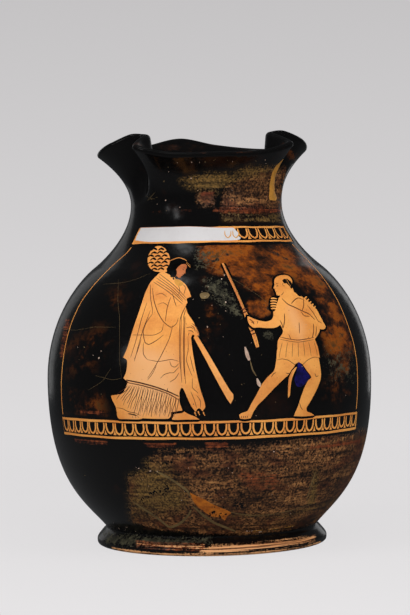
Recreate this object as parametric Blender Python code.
"""A red-figure oinochoe: a round-bellied pouring jug with a trefoil mouth, a ring foot and a strap handle.

The jug is one piece of fired clay. It stands on the flat of its ring foot at z = 0, with its axis on Z,
the spout towards -Y and the handle towards +Y. Angles round the jug are measured from the spout
towards +X. Sizes are in metres.
"""

import math

import bmesh
import bpy
import numpy as np
from mathutils import Vector

# Ring foot
FOOT_RADIUS = 0.0658
FOOT_FACE_HEIGHT = 0.0030
FOOT_EDGE_ROUND = 0.0020
FOOT_HEIGHT = 0.0104
REST_RING_WIDTH = 0.0105
RECESS_SLOPE_WIDTH = 0.0055
RECESS_DEPTH = 0.0050
RECESS_CENTRE_DEPTH = 0.0058

# Body and neck, along the outside
JUNCTION_RADIUS = 0.0606
JUNCTION_LEAN = math.radians(40)
BELLY_RADIUS = 0.0927
BELLY_HEIGHT = 0.0935
SHOULDER_RADIUS = 0.0650
SHOULDER_HEIGHT = 0.1576
SHOULDER_LEAN = math.radians(52.4)
NECK_RADIUS = 0.0432
NECK_HEIGHT = 0.1935

# Fullness of the outline's curves, as shares of each stretch's rise
LOWER_SPRING = 0.224
BELLY_HOLD_BELOW = 0.69
BELLY_HOLD_ABOVE = 0.635
SHOULDER_HOLD = 0.063
THROAT_SPRING = 0.25
NECK_HOLD = 0.447

# Trefoil mouth
SPOUT_REACH = 0.0545
SPOUT_HEIGHT = 0.2178
SPOUT_CORNER_REACH = 0.0600
SPOUT_CORNER_ANGLE = math.radians(47.6)
SPOUT_CORNER_RISE = 0.0060
PINCH_RADIUS = 0.0422
PINCH_ANGLE = math.radians(62)
PINCH_HEIGHT = 0.2306
PINCH_PEAK_HEIGHT = 0.2312
PINCH_DENT = 0.0038
PINCH_DENT_ANGLE = math.radians(66)
PINCH_DENT_SPREAD = math.radians(8)
LOBE_REACH = 0.0602
LOBE_ANGLE = math.radians(97)
LOBE_HEIGHT = 0.2216
BACK_RADIUS = 0.0450
BACK_HEIGHT = 0.2315
MOUTH_LEAN = math.radians(0.5)
MOUTH_SHIFT = -0.0010

# The lip between those points: (share of the way round, share of the reach, share of the rise)
SPOUT_BOW = (0.60, 1.03, 0.10)
FOLD_INTO_PINCH = 0.90
FOLD_OUT_OF_PINCH = (1.11, 0.92)
LOBE_FRONT = (0.50, 0.94, 0.40)
LOBE_REAR = (0.36, 0.93, 0.15)
BACK_SWEEP = (0.68, 1.08, 0.55)

# Clay thickness
BODY_WALL = 0.0045
NECK_WALL = 0.0040
LIP_THICKNESS = 0.0036
PINCH_THICKNESS = 0.0047
FLOOR_THICKNESS = 0.0065
FLOOR_ROUND = 0.0170

# Strap handle, from the back of the lip down to the shoulder
HANDLE_WIDTH = 0.0230
HANDLE_THICKNESS = 0.0090
HANDLE_ROOT_WIDTH = 0.0330
HANDLE_FOOT_WIDTH = 0.0290
HANDLE_DROP_FROM_LIP = 0.0075
HANDLE_ROOT_CLEARANCE = 0.0040
HANDLE_ARCH = 0.0060
HANDLE_OUT = 0.0866
HANDLE_BEND_HEIGHT = 0.2010
HANDLE_LAND_HEIGHT = 0.1500
HANDLE_ROOT_SHARE = 0.20
HANDLE_FOOT_SHARE = 0.18
HANDLE_SQUARENESS = 0.75
HANDLE_SEARCH_REACH = 0.0300
HANDLE_END_PULLBACK = 0.0100

# Fineness of the mesh
LOWER_POINTS = 9
UPPER_POINTS = 8
THROAT_POINTS = 5
FOOT_POINTS = 5
FLOOR_POINTS = 5
MOUTH_RINGS = 9
LIP_RINGS = 3
SKIPPED_RINGS = 2
COLUMNS = 66
COLUMN_STEPS = 2881
PINCH_FOCUS = 2.2
PINCH_SPREAD = math.radians(15)
HANDLE_SIDES = 16
HANDLE_STATIONS = 22
SHARP_ANGLE = math.radians(38)

# Finishes
BLACK_GLOSS = (0.020, 0.016, 0.013)
GLOSS_ROUGHNESS = 0.22
BARE_CLAY = (0.62, 0.33, 0.16)
CLAY_ROUGHNESS = 0.75


def bezier(start, start_handle, end_handle, end, count):
    """Returns count points of a cubic curve, from start to end, as an array of (radius, height)."""
    t = np.linspace(0.0, 1.0, count)[:, None]
    a, b, c, d = (np.asarray(p, float) for p in (start, start_handle, end_handle, end))
    return (1 - t) ** 3 * a + 3 * t * (1 - t) ** 2 * b + 3 * t**2 * (1 - t) * c + t**3 * d


def body_outline(fineness=1):
    """Returns the outside of body and neck, from the foot's junction up to the narrowest of the neck."""
    junction = np.array([JUNCTION_RADIUS, FOOT_HEIGHT])
    belly = np.array([BELLY_RADIUS, BELLY_HEIGHT])
    shoulder = np.array([SHOULDER_RADIUS, SHOULDER_HEIGHT])
    neck = np.array([NECK_RADIUS, NECK_HEIGHT])
    up = np.array([0.0, 1.0])
    spread = np.array([math.sin(JUNCTION_LEAN), math.cos(JUNCTION_LEAN)])
    gather = np.array([-math.sin(SHOULDER_LEAN), math.cos(SHOULDER_LEAN)])
    lower_rise = BELLY_HEIGHT - FOOT_HEIGHT
    upper_rise = SHOULDER_HEIGHT - BELLY_HEIGHT
    neck_rise = NECK_HEIGHT - SHOULDER_HEIGHT
    lower = bezier(
        junction,
        junction + spread * lower_rise * LOWER_SPRING,
        belly - up * lower_rise * BELLY_HOLD_BELOW,
        belly,
        LOWER_POINTS * fineness,
    )
    upper = bezier(
        belly,
        belly + up * upper_rise * BELLY_HOLD_ABOVE,
        shoulder - gather * upper_rise * SHOULDER_HOLD,
        shoulder,
        UPPER_POINTS * fineness,
    )
    throat = bezier(
        shoulder,
        shoulder + gather * neck_rise * THROAT_SPRING,
        neck - up * neck_rise * NECK_HOLD,
        neck,
        THROAT_POINTS * fineness,
    )
    return np.vstack([lower, upper[1:], throat[1:]])


def between(start_angle, end_angle, reach, start_height, end_height, shares):
    """Returns a guide point part of the way round, with its share of a reach and of the rise."""
    around, of_reach, of_rise = shares
    return (
        start_angle + (end_angle - start_angle) * around,
        reach * of_reach,
        start_height + (end_height - start_height) * of_rise,
    )


def rim_guide():
    """Returns the lip's guide points as rows of (angle, radius, height), from the spout round to the back."""
    corner_height = SPOUT_HEIGHT + SPOUT_CORNER_RISE
    half_pinched = (SPOUT_CORNER_REACH + PINCH_RADIUS) / 2
    half_opened = (LOBE_REACH + PINCH_RADIUS) / 2
    return np.array(
        [
            (0.0, SPOUT_REACH, SPOUT_HEIGHT),
            between(0.0, SPOUT_CORNER_ANGLE, SPOUT_REACH, SPOUT_HEIGHT, corner_height, SPOUT_BOW),
            (SPOUT_CORNER_ANGLE, SPOUT_CORNER_REACH, corner_height),
            (PINCH_ANGLE * FOLD_INTO_PINCH, half_pinched, (corner_height + PINCH_HEIGHT) / 2),
            (PINCH_ANGLE, PINCH_RADIUS, PINCH_HEIGHT),
            (PINCH_ANGLE * FOLD_OUT_OF_PINCH[0], half_opened * FOLD_OUT_OF_PINCH[1], PINCH_PEAK_HEIGHT),
            between(PINCH_ANGLE, LOBE_ANGLE, LOBE_REACH, PINCH_PEAK_HEIGHT, LOBE_HEIGHT, LOBE_FRONT),
            (LOBE_ANGLE, LOBE_REACH, LOBE_HEIGHT),
            between(LOBE_ANGLE, math.pi, LOBE_REACH, LOBE_HEIGHT, BACK_HEIGHT, LOBE_REAR),
            between(LOBE_ANGLE, math.pi, BACK_RADIUS, LOBE_HEIGHT, BACK_HEIGHT, BACK_SWEEP),
            (math.pi, BACK_RADIUS, BACK_HEIGHT),
        ]
    )


def smooth_through(knots, values, wanted):
    """Returns a curve through (knots, values) at wanted, its slopes taken from neighbouring knots."""
    slopes = (values[2:] - values[:-2]) / (knots[2:] - knots[:-2])
    slopes = np.concatenate([[0.0], slopes, [0.0]])
    cell = np.clip(np.searchsorted(knots, wanted) - 1, 0, len(knots) - 2)
    width = knots[cell + 1] - knots[cell]
    s = (wanted - knots[cell]) / width
    return (
        (2 * s**3 - 3 * s**2 + 1) * values[cell]
        + (s**3 - 2 * s**2 + s) * width * slopes[cell]
        + (-2 * s**3 + 3 * s**2) * values[cell + 1]
        + (s**3 - s**2) * width * slopes[cell + 1]
    )


def rim_at(angles):
    """Returns the radius and the height of the lip's outer edge at each angle."""
    guide = rim_guide()
    folded = np.abs(np.arctan2(np.sin(angles), np.cos(angles)))
    radius = smooth_through(guide[:, 0], guide[:, 1], folded)
    height = smooth_through(guide[:, 0], guide[:, 2], folded)
    return radius, height + radius * np.sin(angles) * math.tan(MOUTH_LEAN)


def column_angles():
    """Returns the angles of the mesh's columns, closer together at the two pinches of the mouth."""
    fine = np.linspace(-math.pi, math.pi, COLUMN_STEPS)
    density = 1 + PINCH_FOCUS * np.exp(-(((np.abs(fine) - PINCH_ANGLE) / PINCH_SPREAD) ** 2))
    passed = np.concatenate([[0.0], np.cumsum((density[1:] + density[:-1]) / 2)])
    return np.interp(np.arange(COLUMNS) / COLUMNS * passed[-1], passed, fine)


def round_ring(angles, radius, height):
    """Returns a level circle of points, one for each column."""
    return np.stack([radius * np.sin(angles), -radius * np.cos(angles), np.full(len(angles), height)], axis=1)


def mouth_radius(angles, rim_radius, share):
    """Returns the outside radius at a share of the way from the neck up to the lip, with the finger dents."""
    flare = (rim_radius - NECK_RADIUS) * share**2
    from_dent = (np.abs(np.arctan2(np.sin(angles), np.cos(angles))) - PINCH_DENT_ANGLE) / PINCH_DENT_SPREAD
    dent = PINCH_DENT * np.exp(-(from_dent**2)) * np.sin(math.pi * share**0.8) ** 0.8
    return NECK_RADIUS + flare - dent


def mouth_rings(angles, count):
    """Returns the outside of the mouth, from the neck to the lip, flaring from a circle to a trefoil."""
    rim_radius, rim_height = rim_at(angles)
    rings = []
    for share in np.linspace(0.0, 1.0, count + 1)[1:]:
        radius = mouth_radius(angles, rim_radius, share)
        height = NECK_HEIGHT + (rim_height - NECK_HEIGHT) * share
        across = radius * np.sin(angles) + MOUTH_SHIFT * share**2
        rings.append(np.stack([across, -radius * np.cos(angles), height], axis=1))
    return rings


def outward_normals(grid):
    """Returns the unit normal at each point of a grid of rings, pointing away from the axis."""
    along = np.gradient(grid, axis=0)
    around = np.roll(grid, -1, axis=1) - np.roll(grid, 1, axis=1)
    normal = np.cross(around, along)
    return normal / np.linalg.norm(normal, axis=2, keepdims=True)


def foot_outline():
    """Returns the underside and the foot, from near the axis out to the ring and up to the junction."""
    rest_outer = FOOT_RADIUS - FOOT_EDGE_ROUND
    rest_inner = rest_outer - REST_RING_WIDTH
    recess_edge = rest_inner - RECESS_SLOPE_WIDTH
    points = [
        (recess_edge / 2, RECESS_CENTRE_DEPTH),
        (recess_edge, RECESS_DEPTH),
        (rest_inner - RECESS_SLOPE_WIDTH * 0.15, RECESS_DEPTH * 0.35),
        (rest_inner, 0.0),
        (rest_outer, 0.0),
    ]
    for turn in (math.radians(45), math.radians(90)):
        points.append(
            (rest_outer + FOOT_EDGE_ROUND * math.sin(turn), FOOT_EDGE_ROUND * (1 - math.cos(turn)))
        )
    top_rise = FOOT_HEIGHT - FOOT_FACE_HEIGHT
    top_run = FOOT_RADIUS - JUNCTION_RADIUS
    points.extend(
        bezier(
            (FOOT_RADIUS, FOOT_FACE_HEIGHT),
            (FOOT_RADIUS, FOOT_FACE_HEIGHT + top_rise * 0.22),
            (FOOT_RADIUS - top_run * 0.31, FOOT_HEIGHT - top_rise * 0.61),
            (JUNCTION_RADIUS, FOOT_HEIGHT),
            FOOT_POINTS,
        )[:-1]
    )
    return points


def wall_rings(angles):
    """Returns the rings of the outside wall and the matching ones inside, each from the foot to the lip."""
    outline = body_outline()
    rings = [round_ring(angles, radius, height) for radius, height in outline]
    mouth = mouth_rings(angles, MOUTH_RINGS)
    outer = np.array(rings + mouth)
    normals = outward_normals(outer)
    heights = outer[:, :, 2].mean(axis=1)
    thickness = np.interp(
        heights,
        [SHOULDER_HEIGHT, NECK_HEIGHT, SPOUT_HEIGHT],
        [BODY_WALL, NECK_WALL, LIP_THICKNESS],
    )
    from_pinch = (np.abs(angles) - PINCH_ANGLE) / PINCH_DENT_SPREAD
    gathered = (PINCH_THICKNESS - LIP_THICKNESS) * np.exp(-(from_pinch**2))
    raised = np.clip((heights - NECK_HEIGHT) / (SPOUT_HEIGHT - NECK_HEIGHT), 0, 1)
    thickness = thickness[:, None] + raised[:, None] * gathered
    inner = outer - normals * thickness[:, :, None]
    return outer, inner


def lip_rings(outer, inner, count):
    """Returns the rings that round the lip over, from the outside wall to the inside."""
    middle = (outer[-1] + inner[-1]) / 2
    half = (outer[-1] - inner[-1]) / 2
    reach = np.linalg.norm(half, axis=1, keepdims=True)
    upward = outer[-1] - outer[-2] + inner[-1] - inner[-2]
    upward /= np.linalg.norm(upward, axis=1, keepdims=True)
    turns = np.linspace(0, math.pi, count + 2)[1:-1]
    return [middle + half * math.cos(turn) + upward * reach * math.sin(turn) for turn in turns]


def floor_rings(angles, lowest_inner):
    """Returns the rings that carry the inside wall round into the floor, from the wall towards the axis."""
    start = np.array([np.hypot(lowest_inner[0, 0], lowest_inner[0, 1]), lowest_inner[0, 2]])
    floor_height = RECESS_CENTRE_DEPTH + FLOOR_THICKNESS
    flat_radius = start[0] - FLOOR_ROUND
    into = (start[0] - FLOOR_ROUND * 0.35, floor_height + (start[1] - floor_height) * 0.15)
    out_of = (flat_radius + FLOOR_ROUND * 0.3, floor_height)
    curve = bezier(start, into, out_of, (flat_radius, floor_height), FLOOR_POINTS)
    rings = [round_ring(angles, radius, height) for radius, height in curve[1:]]
    rings.append(round_ring(angles, flat_radius / 2, floor_height))
    return rings, floor_height


def skin(bm, rings):
    """Joins each ring of points to the next with faces, and returns the rings as vertices."""
    loops = [[bm.verts.new(point) for point in ring] for ring in rings]
    for low, high in zip(loops, loops[1:]):
        for i in range(len(low)):
            j = (i + 1) % len(low)
            bm.faces.new((low[i], low[j], high[j], high[i]))
    return loops


def fan(bm, loop, point):
    """Closes a ring with triangles that meet at a point."""
    centre = bm.verts.new(point)
    for i in range(len(loop)):
        bm.faces.new((loop[i], loop[(i + 1) % len(loop)], centre))


def finish_mesh(bm, name):
    """Turns all faces outwards and returns the mesh, shaded smooth with its sharp edges kept."""
    bmesh.ops.recalc_face_normals(bm, faces=bm.faces)
    mesh = bpy.data.meshes.new(name)
    bm.to_mesh(mesh)
    bm.free()
    mesh.shade_smooth()
    mesh.set_sharp_from_angle(angle=SHARP_ANGLE)
    return mesh


def vessel_mesh():
    """Returns the hollow jug without its handle, from the underside round the lip to the floor."""
    angles = column_angles()
    outer, inner = wall_rings(angles)
    below = [round_ring(angles, radius, height) for radius, height in foot_outline()]
    downwards = list(inner[::-1][: len(inner) - SKIPPED_RINGS])
    mouth_part = downwards[:MOUTH_RINGS]
    body_part = downwards[MOUTH_RINGS:]
    inside = mouth_part + body_part[:-1:2] + [body_part[-1]]
    floor, floor_height = floor_rings(angles, inside[-1])
    bm = bmesh.new()
    loops = skin(bm, below + list(outer) + lip_rings(outer, inner, LIP_RINGS) + inside + floor)
    fan(bm, loops[0], (0, 0, RECESS_CENTRE_DEPTH))
    fan(bm, loops[-1], (0, 0, floor_height))
    return finish_mesh(bm, "jug")


def wall_middle_radius(angle, height, outline):
    """Returns the radius of the middle of the clay wall at an angle and a height."""
    if height <= NECK_HEIGHT:
        outer = np.interp(height, outline[:, 1], outline[:, 0])
        return outer - BODY_WALL / 2
    rim_radius, rim_height = rim_at(np.array([angle]))
    share = min((height - NECK_HEIGHT) / (rim_height[0] - NECK_HEIGHT), 1.0)
    return mouth_radius(angle, rim_radius[0], share) - NECK_WALL / 2


def drive_into_wall(point, direction, outline):
    """Returns the place where a point, moved along a direction, meets the middle of the clay wall."""
    near, far = 0.0, HANDLE_SEARCH_REACH
    for _ in range(40):
        middle = (near + far) / 2
        place = point + direction * middle
        angle = math.atan2(place.x, -place.y)
        inside = math.hypot(place.x, place.y) < wall_middle_radius(angle, place.z, outline)
        near, far = (near, middle) if inside else (middle, far)
    return point + direction * far


def handle_path():
    """Returns the handle's middle line as (distance behind the axis, height), from lip to shoulder."""
    root_height = BACK_HEIGHT - HANDLE_DROP_FROM_LIP
    out = HANDLE_OUT - HANDLE_THICKNESS / 2
    reach = out - BACK_RADIUS
    drop = HANDLE_BEND_HEIGHT - HANDLE_LAND_HEIGHT
    over = bezier(
        (BACK_RADIUS + HANDLE_ROOT_CLEARANCE, root_height),
        (BACK_RADIUS + reach * 0.55, root_height + HANDLE_ARCH),
        (out, root_height),
        (out, HANDLE_BEND_HEIGHT),
        HANDLE_STATIONS // 2,
    )
    outline = body_outline()
    land_radius = np.interp(HANDLE_LAND_HEIGHT, outline[:, 1], outline[:, 0])
    down = bezier(
        (out, HANDLE_BEND_HEIGHT),
        (out, HANDLE_BEND_HEIGHT - drop * 0.50),
        (land_radius + HANDLE_THICKNESS * 0.75, HANDLE_LAND_HEIGHT + HANDLE_THICKNESS * 1.3),
        (land_radius + HANDLE_THICKNESS * 0.2, HANDLE_LAND_HEIGHT + HANDLE_THICKNESS * 0.2),
        HANDLE_STATIONS // 2,
    )
    return np.vstack([over, down[1:]])


def handle_section(width, thickness):
    """Returns the strap's rounded section as (across, outwards) offsets."""
    turns = np.linspace(0, 2 * math.pi, HANDLE_SIDES, endpoint=False)
    across = np.sign(np.cos(turns)) * np.abs(np.cos(turns)) ** HANDLE_SQUARENESS * width / 2
    outwards = np.sign(np.sin(turns)) * np.abs(np.sin(turns)) ** HANDLE_SQUARENESS * thickness / 2
    return np.stack([across, outwards], axis=1)


def handle_mesh():
    """Returns the strap handle, with both ends running into the middle of the clay wall."""
    path = handle_path()
    tangents = np.gradient(path, axis=0)
    tangents /= np.linalg.norm(tangents, axis=1, keepdims=True)
    travelled = np.concatenate([[0.0], np.cumsum(np.linalg.norm(np.diff(path, axis=0), axis=1))])
    share = travelled / travelled[-1]
    near_root = np.clip(1 - share / HANDLE_ROOT_SHARE, 0, 1)
    near_foot = np.clip(1 - (1 - share) / HANDLE_FOOT_SHARE, 0, 1)
    root_flare = (HANDLE_ROOT_WIDTH - HANDLE_WIDTH) * near_root**2
    foot_flare = (HANDLE_FOOT_WIDTH - HANDLE_WIDTH) * near_foot**2
    widths = HANDLE_WIDTH + root_flare + foot_flare
    rings = []
    for place, tangent, width in zip(path, tangents, widths):
        middle = Vector((0, place[0], place[1]))
        outwards = Vector((0, -tangent[1], tangent[0]))
        section = handle_section(width, HANDLE_THICKNESS)
        rings.append([middle + Vector((across, 0, 0)) + outwards * away for across, away in section])
    outline = body_outline(fineness=4)
    into_neck = Vector((0, -tangents[0][0], -tangents[0][1]))
    into_body = Vector((0, tangents[-1][0], tangents[-1][1]))
    root = [drive_into_wall(point, into_neck, outline) for point in rings[0]]
    foot = [drive_into_wall(point, into_body, outline) for point in rings[-1]]
    rings = [root] + rings + [foot]
    bm = bmesh.new()
    loops = skin(bm, rings)
    for loop, direction in ((loops[0], into_neck), (loops[-1], into_body)):
        centre = sum((vertex.co for vertex in loop), Vector()) / len(loop)
        fan(bm, loop, drive_into_wall(centre - direction * HANDLE_END_PULLBACK, direction, outline))
    return finish_mesh(bm, "handle form")


def clay_material(name, colour, roughness):
    """Returns a plain fired-clay finish."""
    material = bpy.data.materials.new(name)
    material.use_nodes = True
    shader = material.node_tree.nodes["Principled BSDF"]
    shader.inputs["Base Color"].default_value = (*colour, 1)
    shader.inputs["Roughness"].default_value = roughness
    shader.inputs["Metallic"].default_value = 0
    return material


def build_jug():
    """Makes the jug as one solid: the hollow vessel, with the handle joined to it."""
    vessel = vessel_mesh()
    vessel.materials.append(clay_material("black gloss", BLACK_GLOSS, GLOSS_ROUGHNESS))
    vessel.materials.append(clay_material("bare clay", BARE_CLAY, CLAY_ROUGHNESS))
    for face in vessel.polygons:
        face.material_index = int(is_bare(face))
    jug = bpy.data.objects.new("jug", vessel)
    handle = bpy.data.objects.new("handle form", handle_mesh())
    handle.data.materials.append(vessel.materials[0])
    for made in (jug, handle):
        bpy.context.scene.collection.objects.link(made)
    handle.hide_render = True
    handle.display_type = "WIRE"
    join = jug.modifiers.new("handle join", "BOOLEAN")
    join.operation = "UNION"
    join.solver = "EXACT"
    join.object = handle
    return jug


def is_bare(face):
    """Says whether a face belongs to the resting ring or to the recess inside it, which have no gloss."""
    rest_outer = FOOT_RADIUS - FOOT_EDGE_ROUND
    in_ring = math.hypot(face.center.x, face.center.y) < rest_outer
    return in_ring and face.center.z <= RECESS_CENTRE_DEPTH


def main():
    """Clears the scene and builds the jug."""
    for old in list(bpy.data.objects):
        bpy.data.objects.remove(old)
    build_jug()


main()
